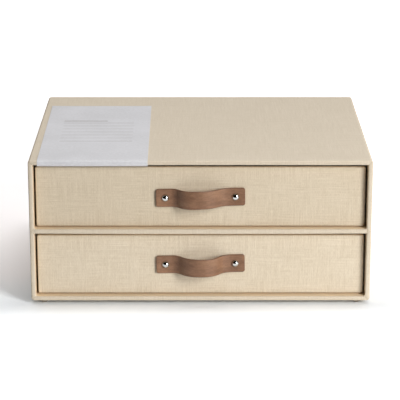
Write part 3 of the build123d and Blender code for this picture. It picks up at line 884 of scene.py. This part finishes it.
def makeDrawerFront(drawer):
    c = drawerFront
    low, high = span(drawer + "_front_linen")
    halfWidth, halfHeight, middle = high[0], (high[2] - low[2]) / 2, (low[2] + high[2]) / 2
    near, far, soft, skinDepth = low[1], high[1], c["softness"], c["thickness"]
    section = [(halfHeight - 1.5, near)]
    section += [(inset, near) for inset in (26.0, 22.0, 16.0, 10.0, 5.0, 2.4)]
    bend = [math.radians(angle) for angle in (0, 22, 45, 68, 90)]
    section += [(soft - soft * math.sin(a), near + soft - soft * math.cos(a)) for a in bend]
    section += [(0, far - 0.4), (0.15, far - 0.1), (0.4, far), (c["turnIn"], far)]
    section += [(c["turnIn"], far - skinDepth), (skinDepth, far - skinDepth), (skinDepth, near + skinDepth)]
    section += [(halfHeight - 1.5, near + skinDepth)]
    rings = []
    for inset, y in section:
        radius = max(0.3, c["cornerRadius"] - inset * 0.7)
        size = (halfWidth - inset, halfHeight - inset)
        rings.append(roundedRing(*size, radius, middle, y, across=(halfWidth, halfHeight)))
    shape = skin(rings, loop=False)
    roughen(shape, c["unevenness"], 40, shift=middle)
    piece = pieceFrom(drawer + "FrontCloth", shape, [drawer + "Linen"])
    layWeave(piece, front)
    smoothed(piece)
    placed(piece, drawer + "_drawer", "drawer_linen", drawer + "_front_linen")


tray = {
    "board": 2.2,
    "wrap": 0.4,
    "lip": 15.0,  # cloth folded over the rim and down inside
    "rimRadius": 1.1,
    "cornerRadius": 0.8,
    "baseRadius": 0.5,
    "ringSpan": (160, 122),
    "unevenness": 0.06,
}


def levelRing(halfWidth, halfDepth, radius, middle, z):  # a ring like the upright one, but lying flat
    upright = roundedRing(halfWidth, halfDepth, radius, middle, 0, across=tray["ringSpan"])
    return [(x, depth, z) for x, _, depth in upright]


def makeTrayCloth(drawer):
    c = tray
    low, high = span(drawer + "_tray_wrap")
    halfWidth, halfDepth, middle = high[0], (high[1] - low[1]) / 2, (low[1] + high[1]) / 2
    bottom, top, wrap = low[2], high[2], c["wrap"]
    wall, rim, base = c["board"] + 2 * wrap, c["rimRadius"], c["baseRadius"]
    section = [(halfDepth - 6, bottom), (40, bottom), (4, bottom)]
    section += quarter((base, bottom + base), base, 270, 180, 2)
    section += [(0, bottom + 14), (0, bottom + 28), (0, top - 16), (0, top - 5)]
    section += quarter((rim, top - rim), rim, 180, 90)
    section += quarter((wall - rim, top - rim), rim, 90, 0)
    section += [(wall, top - 6), (wall, top - c["lip"]), (wall - wrap, top - c["lip"])]
    section += [(wall - wrap, top - 1.3), (wrap, top - 1.3), (wrap, bottom + wrap)]
    section += [(halfDepth - 6, bottom + wrap)]
    rings = []
    for inset, z in section:
        radius = max(0.3, c["cornerRadius"] - inset * 0.2)
        rings.append(levelRing(halfWidth - inset, halfDepth - inset, radius, middle, z))
    shape = skin(rings, loop=False)
    roughen(shape, c["unevenness"], 24, shift=middle + top)
    for vertex in shape.verts:  # the unevenness stays off what the tray runs on
        vertex.co.z = max(vertex.co.z, bottom)
    piece = pieceFrom(drawer + "TrayCloth", shape, [drawer + "Linen"])
    layWeave(piece, low[1])
    smoothed(piece)
    placed(piece, drawer + "_drawer", "drawer_linen", drawer + "_tray_wrap")


for drawer in ("upper", "lower"):
    makeDrawerFront(drawer)
    makeTrayCloth(drawer)
print("drawer fronts and trays ready")


pull = {
    "length": 87.5,
    "halfWidth": 9.0,
    "thickness": 2.2,
    "cornerRadius": 2.4,
    "grainEdge": 0.62,  # burnished rounding of the outer edges
    "fleshEdge": 0.25,
    "studSpacing": 68.6,
    "dimple": 0.32,  # how far the heads press the leather in
    "dimpleReach": 3.4,  # beyond the head's radius
    "headRadius": 3.55,
    "tilt": 1.0,  # degrees, right end higher
    "waver": 0.22,
    "crowning": 0.10,  # the grain side is a little fuller at mid width
    "ripple": 0.07,
    "grainDepth": 0.05,
    # height, where it leaves the flat on each side, its crown, and the share of each slope in the first arc
    "bows": {
        "upper": {
            "height": 11.5, "left": -29.0, "crown": (-7.0, -1.5), "right": 30.3, "footShare": (0.36, 0.42),
        },
        "lower": {
            "height": 15.0, "left": -29.2, "crown": (0.3, 2.5), "right": 31.0, "footShare": (0.36, 0.45),
        },
    },
}


def bowLine(bow, level):  # the pull's middle line seen from above, outwards counted up
    half, step, height = pull["length"] / 2, 3.0, bow["height"]

    def slope(run, foot):  # two tangent arcs from the flat up to the crown, as distance and rise
        sumOfRadii = (run ** 2 + height ** 2) / (2 * height)
        turn = 2 * math.atan2(height, run)
        low, high = sumOfRadii * foot, sumOfRadii * (1 - foot)
        count = max(6, round(math.degrees(turn) / step))
        angles = [turn * k / count for k in range(count + 1)]
        first = [(low * math.sin(a), low * (1 - math.cos(a))) for a in angles[:-1]]
        second = [(run - high * math.sin(a), height - high * (1 - math.cos(a))) for a in angles[::-1]]
        return first + second

    rising = slope(bow["crown"][0] - bow["left"], bow["footShare"][0])
    falling = slope(bow["right"] - bow["crown"][1], bow["footShare"][1])[::-1]
    points = [(-half, level)]
    points += [(bow["left"] + run, level + rise) for run, rise in rising]
    points += [(bow["right"] - run, level + rise) for run, rise in falling]
    return points + [(half, level)]


def flatStrip(name, length, seed):  # the strip before it is bent: x along, y outwards, z across
    p = pull
    half, thick, edge = p["halfWidth"], p["thickness"] / 2, p["grainEdge"]
    margin = (p["length"] - p["studSpacing"]) / 2
    studs = (margin, length - margin)
    ends = [0, 0.12, 0.3, 0.6, 1.0, 1.6, 2.4]
    middle = [ends[-1] + (length - 2 * ends[-1]) * k / 110 for k in range(1, 110)]
    stations = ends + middle + [length - s for s in ends[::-1]]
    sides = [0, 0.1, 0.25, 0.45, edge, 1.1, 2.0]
    shape = bmesh.new()
    hide = shape.verts.layers.float_vector.new("hide")
    rows = []
    for s in stations:
        end = min(s, length - s)
        inset = drop(end, p["cornerRadius"])
        w = half - inset + p["waver"] * noise.noise(Vector((s / 17, seed, 0.5)))
        broad = [-w + sides[-1] + (2 * w - 2 * sides[-1]) * k / 14 for k in range(1, 14)]
        spots = [-w + d for d in sides] + broad + [w - d for d in sides[::-1]]
        ring = []
        for t in spots:  # grain side
            side = min(t + w, w - t)
            pressed = 0.0
            for stud in studs:
                away = math.hypot(s - stud, t)
                share = max(0.0, min(1.0, (p["headRadius"] + p["dimpleReach"] - away) / p["dimpleReach"]))
                pressed = max(pressed, share * share * (3 - 2 * share))
            crown = p["crowning"] * (1 - (t / half) ** 2)
            ripple = p["ripple"] * noise.noise(Vector((s / 7, t / 9, seed + 4)))
            out = thick - p["grainDepth"] - max(drop(side, edge), drop(end, edge))
            out = out + crown + ripple - p["dimple"] * pressed
            ring.append((s, out, t, max(0.0, 1 - min(side, end) / 1.5)))
        for t in spots[::-1]:  # flesh side
            side = min(t + w, w - t)
            ring.append((s, -thick + max(drop(side, p["fleshEdge"]), drop(end, p["fleshEdge"])), t, 0.0))
        row = []
        for x, y, z, rim in ring:
            vertex = shape.verts.new((x, y, z))
            vertex[hide] = (x, z, rim)
            row.append(vertex)
        rows.append(row)
    count = len(rows[0])
    for near, far in zip(rows, rows[1:]):
        for i in range(count):
            shape.faces.new((near[i], near[(i + 1) % count], far[(i + 1) % count], far[i]))
    shape.faces.new(rows[0])
    shape.faces.new(rows[-1][::-1])
    bmesh.ops.recalc_face_normals(shape, faces=shape.faces)
    shape.normal_update()
    for face in shape.faces:
        face.smooth = True
        face.material_index = 1 if face.normal.y < -0.8 else 0
    return pieceFrom(name, shape, ["pullLeather", "fleshLeather"])


def groupTree(name, inputs):  # a Geometry Nodes tree with named inputs
    tree = bpy.data.node_groups.new(name, "GeometryNodeTree")
    tree.interface.new_socket("Geometry", in_out="INPUT", socket_type="NodeSocketGeometry")
    tree.interface.new_socket("Geometry", in_out="OUTPUT", socket_type="NodeSocketGeometry")
    for title, kind in inputs:
        tree.interface.new_socket(title, in_out="INPUT", socket_type=kind)
    board = Board(tree)
    return tree, board, board.add("NodeGroupInput")


def endTree(board, last):
    output = board.tree.nodes.new("NodeGroupOutput")
    board.tree.links.new(last.socket, output.inputs[0])


def applyTree(piece, tree, values):  # inputs are set by identifier before the piece is first evaluated
    modifier = piece.modifiers.new(tree.name, "NODES")
    modifier.node_group = tree
    for item in tree.interface.items_tree:
        if item.in_out == "INPUT" and item.name in values:
            modifier[item.identifier] = values[item.name]
    freeze(piece)


def bendTree():  # moves a strip that lies along X onto a path, its thickness square to the path
    tree, board, start = groupTree("bendAlongPath", [
        ("Path", "NodeSocketObject"), ("Tilt", "NodeSocketFloat"), ("Height", "NodeSocketFloat"),
    ])
    path = board.add("GeometryNodeObjectInfo", None, {"Object": start.also("Path")}, "Geometry")
    x, y, z = board.parts(board.add("GeometryNodeInputPosition"))
    byLength = {"mode": "LENGTH", "use_all_curves": True}
    sample = board.add("GeometryNodeSampleCurve", byLength, {"Curves": path, "Length": x}, "Position")
    outwards = board.vectors("CROSS_PRODUCT", {0: sample.also("Tangent"), 1: (0, 0, 1)})
    lifted = board.vectors("SCALE", {0: outwards, "Scale": y})
    onPath = board.vectors("ADD", {0: sample, 1: lifted})
    target = board.vectors("ADD", {0: onPath, 1: board.joined(0.0, 0.0, z)})
    bent = board.add("GeometryNodeSetPosition", None, {"Geometry": start, "Position": target})
    turn = board.joined(0.0, 0.0 - start.also("Tilt"), 0.0)
    lift = board.joined(0.0, 0.0, start.also("Height"))
    moved = {"Geometry": bent, "Translation": lift, "Rotation": turn}
    endTree(board, board.add("GeometryNodeTransform", None, moved))
    return tree


def makePulls():
    tree = bendTree()
    for number, (drawer, bow) in enumerate(pull["bows"].items()):
        low, high = span(drawer + "_strap")
        panel = high[1]  # the strap lies on the drawer's front
        middle = (low[2] + high[2]) / 2
        points = [(x, panel - out) for x, out in bowLine(bow, pull["thickness"] / 2)]
        curve = bpy.data.curves.new(drawer + "Path", "CURVE")
        curve.dimensions = "3D"
        spline = curve.splines.new("POLY")
        spline.points.add(len(points) - 1)
        for slot, (x, y) in zip(spline.points, points):
            slot.co = (x * mm, y * mm, 0, 1)
        length = sum(math.dist(a, b) for a, b in zip(points, points[1:]))
        path = bpy.data.objects.new(drawer + "Path", curve)
        scene.collection.objects.link(path)
        piece = flatStrip(drawer + "Pull", length, 3.0 + 5 * number)
        applyTree(piece, tree, {"Path": path, "Tilt": math.radians(pull["tilt"]), "Height": middle * mm})
        bpy.data.objects.remove(path)
        smoothed(piece, 70)
        placed(piece, drawer + "_drawer", "pull_leather", drawer + "_strap")


makePulls()
print("leather pulls ready")


def setOutTree():  # copies of one piece on a grid, each turned about its own axis
    tree, board, start = groupTree("setOut", [
        ("Columns", "NodeSocketInt"), ("Rows", "NodeSocketInt"),
        ("Width", "NodeSocketFloat"), ("Depth", "NodeSocketFloat"),
        ("Middle", "NodeSocketVector"), ("Turn", "NodeSocketVector"),
        ("Spin Axis", "NodeSocketVector"), ("Seed", "NodeSocketInt"), ("Material", "NodeSocketMaterial"),
    ])
    grid = board.add("GeometryNodeMeshGrid", None, {
        "Size X": start.also("Width"), "Size Y": start.also("Depth"),
        "Vertices X": start.also("Columns"), "Vertices Y": start.also("Rows"),
    })
    laid = board.add("GeometryNodeTransform", None, {
        "Geometry": grid, "Translation": start.also("Middle"), "Rotation": start.also("Turn"),
    })
    anyTurn = {2: -math.pi, 3: math.pi, "Seed": start.also("Seed")}
    spin = board.add("FunctionNodeRandomValue", {"data_type": "FLOAT"}, anyTurn, 1)
    turned = board.vectors("SCALE", {0: start.also("Spin Axis"), "Scale": spin})
    placing = {"Points": laid, "Instance": start, "Rotation": turned}
    copies = board.add("GeometryNodeInstanceOnPoints", None, placing)
    real = board.add("GeometryNodeRealizeInstances", None, {"Geometry": copies})
    coat = {"Geometry": real, "Material": start.also("Material")}
    endTree(board, board.add("GeometryNodeSetMaterial", None, coat))
    return tree


def turnedShape(profile, steps=40):  # a profile of radius and height turned about Z, from pole to pole
    shape = bmesh.new()
    rows = []
    for radius, height in profile:
        around = circle(radius, steps) if radius else [(0, 0)]
        rows.append([shape.verts.new((x, y, height)) for x, y in around])
    for near, far in zip(rows, rows[1:]):
        for k in range(steps):
            j = (k + 1) % steps
            ring = [near[k % len(near)], near[j % len(near)], far[j % len(far)], far[k % len(far)]]
            shape.faces.new(list(dict.fromkeys(ring)))
    bmesh.ops.recalc_face_normals(shape, faces=shape.faces)
    return shape


stud = {
    "radius": 3.55, "height": 2.5, "rim": 0.42, "rimSoftness": 0.16,
    "postRadius": 2.0, "postLength": 8.4,
    "seat": 0.30,  # pressed into the leather
}
screw = {
    "headRadius": 4.0, "headHeight": 1.2, "edge": 0.35,
    "slotWidth": 0.9, "slotDepth": 0.5,
    "shankRadius": 1.25, "shankLength": 5.0,
}
foot = {"radius": 4.9, "height": 3.5, "flatRadius": 2.6, "rim": 0.6}


def towardsFront(shape):  # what was turned about Z now points at the viewer
    for vertex in shape.verts:
        x, y, z = vertex.co
        vertex.co = (x, -z, y)


def setOutPair(piece, tree, low, high, seat, seed):  # through the strap's two holes, tilted as it is
    applyTree(piece, tree, {
        "Columns": 2, "Rows": 1, "Width": pull["studSpacing"] * mm, "Depth": 0.0,
        "Middle": (0, seat * mm, (low[2] + high[2]) / 2 * mm),
        "Turn": (math.pi / 2, math.radians(-pull["tilt"]), 0), "Spin Axis": (0, 1, 0),
        "Seed": seed, "Material": piece.data.materials[0],
    })


def makeStuds(drawer, tree):
    s = stud
    low, high = span(drawer + "_stud_posts")
    rise = s["height"] - s["rim"]
    ball = (s["radius"] ** 2 + rise ** 2) / (2 * rise)
    spread = math.asin(s["radius"] / ball)
    profile = [(0, -s["postLength"]), (s["postRadius"], -s["postLength"]), (s["postRadius"], -s["seat"])]
    profile += [(s["radius"] - 0.2, -s["seat"]), (s["radius"], -s["seat"] + 0.2)]
    profile += [(s["radius"], s["rim"] - s["rimSoftness"]), (s["radius"] - 0.03, s["rim"])]
    dome = [spread * share for share in (0.97, 0.9, 0.8, 0.7, 0.6, 0.5, 0.4, 0.3, 0.2, 0.1)]
    profile += [(ball * math.sin(a), s["height"] - ball * (1 - math.cos(a))) for a in dome]
    shape = turnedShape(profile + [(0, s["height"])])
    towardsFront(shape)
    piece = pieceFrom(drawer + "Studs", shape, ["studSteel"])
    setOutPair(piece, tree, low, high, low[1] + s["height"], 3)
    smoothed(piece, 50)
    placed(piece, drawer + "_drawer", "polished_steel", drawer + "_stud_posts")


def makeScrews(drawer, tree):  # slotted heads inside the tray
    s = screw
    low, high = span(drawer + "_stud_screws")
    shape = bmesh.new()
    half, floorLevel = s["slotWidth"] / 2, s["headHeight"] - s["slotDepth"]
    radius, steps = s["headRadius"], 18

    def wall(points, bottom, top, inset):  # an upright slice with a softened upper edge
        rings = [[(x, y, bottom) for x, y in points], [(x, y, top - inset) for x, y in points]]
        centre = Vector((sum(p[0] for p in points), sum(p[1] for p in points))) / len(points)
        soft = [Vector(p) + (centre - Vector(p)).normalized() * inset for p in points]
        between = [(a[0] * 0.6 + b.x * 0.4, a[1] * 0.6 + b.y * 0.4) for a, b in zip(points, soft)]
        rings.append([(x, y, top - inset * 0.3) for x, y in between])
        rings.append([(b.x, b.y, top) for b in soft])
        part = skin(rings, loop=False)
        data = bpy.data.meshes.new("slice")
        part.to_mesh(data)
        part.free()
        shape.from_mesh(data)
        bpy.data.meshes.remove(data)

    wall(circle(radius, 36), 0, floorLevel, 0.02)
    start = math.asin(half / radius)
    angles = [start + (math.pi - 2 * start) * k / steps for k in range(steps + 1)]
    arc = [(radius * math.cos(a), radius * math.sin(a)) for a in angles]
    for side in (1, -1):
        wall([(x, y * side) for x, y in arc][::side], floorLevel - 0.02, s["headHeight"], s["edge"])
    wall(circle(s["shankRadius"], 16), -s["shankLength"], 0.02, 0.01)
    for vertex in shape.verts:  # the head points to the back, into the tray
        x, y, z = vertex.co
        vertex.co = (x, z, y)
    bmesh.ops.recalc_face_normals(shape, faces=shape.faces)
    piece = pieceFrom(drawer + "Screws", shape, ["screwSteel"])
    setOutPair(piece, tree, low, high, high[1] - s["headHeight"], 8)
    smoothed(piece, 35)
    placed(piece, drawer + "_drawer", "screw_steel", drawer + "_stud_screws")


def makeFeet(tree):
    f = foot
    low, high = span("bumper_feet")
    shoulder = f["height"] - f["rim"]
    middle = (f["radius"] ** 2 - f["flatRadius"] ** 2 + shoulder ** 2) / (2 * shoulder)
    ball = math.hypot(f["flatRadius"], middle)
    first, last = math.atan2(f["flatRadius"], middle), math.atan2(f["radius"], middle - shoulder)
    profile = [(0, 0.12), (f["flatRadius"] * 0.5, 0.05), (f["flatRadius"] * 0.9, 0.0)]
    angles = [first + (last - first) * k / 8 for k in range(9)]
    profile += [(ball * math.sin(a), middle - ball * math.cos(a)) for a in angles]
    profile += [(f["radius"], f["height"] - 0.1), (f["radius"] - 0.1, f["height"]), (0, f["height"])]
    piece = pieceFrom("bumperFeet", turnedShape(profile), ["bumperGel"])
    width, depth = high[0] - low[0] - 2 * f["radius"], high[1] - low[1] - 2 * f["radius"]
    applyTree(piece, tree, {
        "Columns": 2, "Rows": 2, "Width": width * mm, "Depth": depth * mm,
        "Middle": (0, (low[1] + high[1]) / 2 * mm, 0), "Turn": (0, 0, 0), "Spin Axis": (0, 0, 1),
        "Seed": 5, "Material": piece.data.materials[0],
    })
    smoothed(piece, 40)
    placed(piece, "case", "clear_bumper", "bumper_feet")


outTree = setOutTree()
for drawer in ("upper", "lower"):
    makeStuds(drawer, outTree)
    makeScrews(drawer, outTree)
makeFeet(outTree)
print("studs, screws and feet ready")


def dressNodes():  # boards and linings keep their own shape
    for name, node in cad.items():
        if node.hide_render:
            continue
        finishName = "liningPaper" if name.endswith("lining") else "boardGrey"
        node.data.materials.clear()
        node.data.materials.append(finishes[finishName])


dressNodes()
print("boards and linings dressed")
